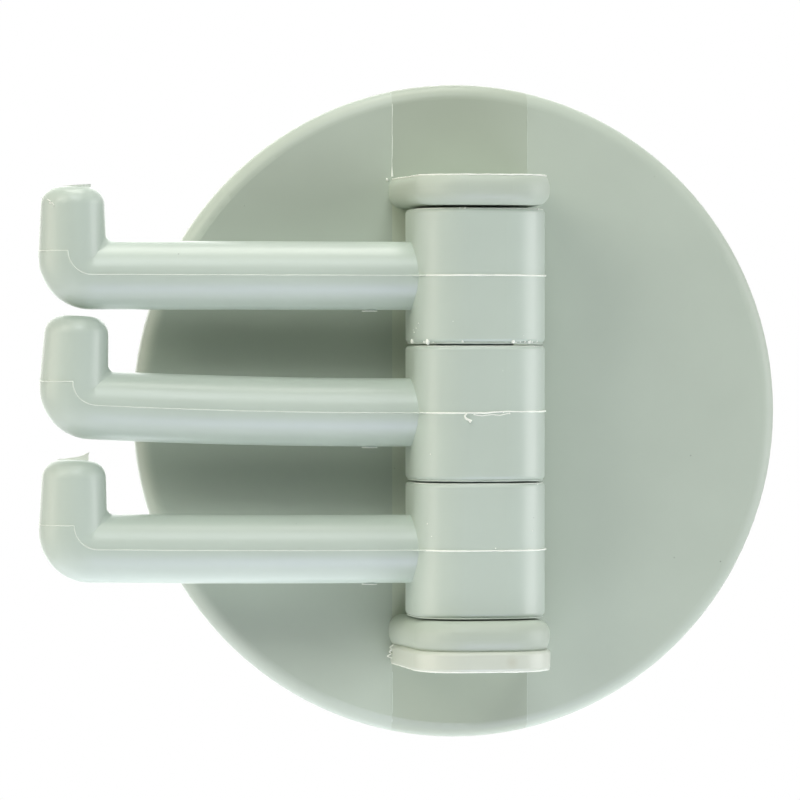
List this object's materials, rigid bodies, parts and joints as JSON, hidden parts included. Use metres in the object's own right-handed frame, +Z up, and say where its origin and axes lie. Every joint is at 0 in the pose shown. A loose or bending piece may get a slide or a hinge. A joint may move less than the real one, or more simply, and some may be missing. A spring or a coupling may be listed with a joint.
{
  "type": "rotating wall hook",
  "caption": "Round stick-on wall plate with lugs that hold an upright hinge pin, on which stacked hook arms swivel side to side; each arm is a hub, a round bar and an upturned tip.",
  "frame": {"origin": "centre of the adhesive back face, on the wall", "axes": "+Y into the wall, so the front faces -Y; +X to the right seen from the front; +Z up"},
  "size_m": [0.0928, 0.0218, 0.08],
  "materials": {
    "plate_plastic": "moulded, satin sage green",
    "arm_plastic": "moulded, satin sage green",
    "pin_plastic": "moulded, satin sage green",
    "adhesive": "soft acrylic foam, matt white"
  },
  "bodies": {
    "base": {"base_plate": "plate_plastic", "hinge_pin": "pin_plastic", "adhesive_pad": "adhesive"},
    "upper_arm": {"upper_arm": "arm_plastic"},
    "middle_arm": {"middle_arm": "arm_plastic"},
    "lower_arm": {"lower_arm": "arm_plastic"}
  },
  "joints": [
    {"name": "upper_swing", "type": "hinge", "parent": "base", "child": "upper_arm", "pos_m": [0, -0.01231, 0.0164], "axis": [0, 0, 1], "range_deg": [-6, 186]},
    {"name": "middle_swing", "type": "hinge", "parent": "base", "child": "middle_arm", "pos_m": [0, -0.01231, 0], "axis": [0, 0, 1], "range_deg": [-6, 186]},
    {"name": "lower_swing", "type": "hinge", "parent": "base", "child": "lower_arm", "pos_m": [0, -0.01231, -0.0164], "axis": [0, 0, 1], "range_deg": [-6, 186]}
  ]
}
